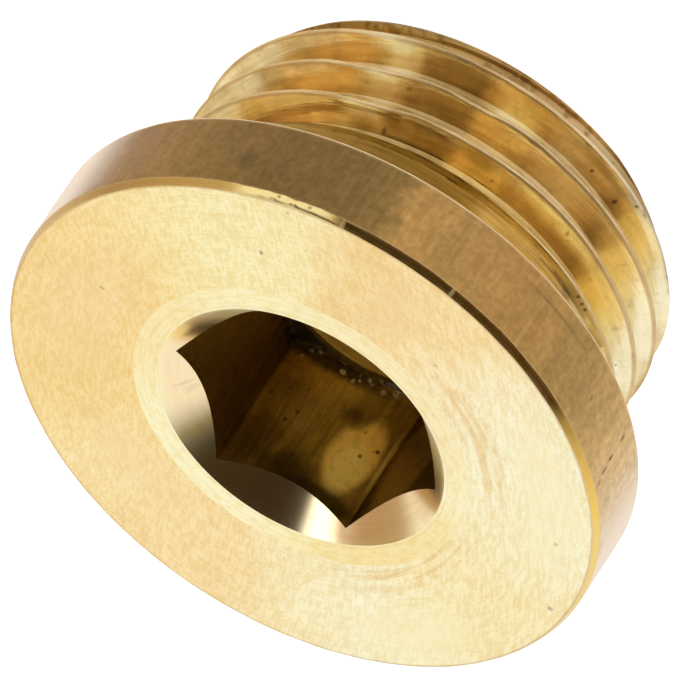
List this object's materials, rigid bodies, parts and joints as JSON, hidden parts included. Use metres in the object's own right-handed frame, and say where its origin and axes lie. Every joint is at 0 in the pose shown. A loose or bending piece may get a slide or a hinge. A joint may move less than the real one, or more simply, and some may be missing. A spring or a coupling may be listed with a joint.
{
  "type": "hex socket plug",
  "caption": "Brass screw plug with a round collar, a short parallel pipe thread and a countersunk hexagon socket in its face.",
  "frame": {"origin": "centre of the flat thread end, which the plug stands on", "axes": "+Z along the axis, from the thread end to the face with the socket; +X through a corner of the hexagon"},
  "size_m": [0.026, 0.026, 0.0137],
  "materials": {
    "brass": "turned, dull and slightly tarnished"
  },
  "bodies": {
    "root": {"plug": "brass"}
  },
  "joints": []
}
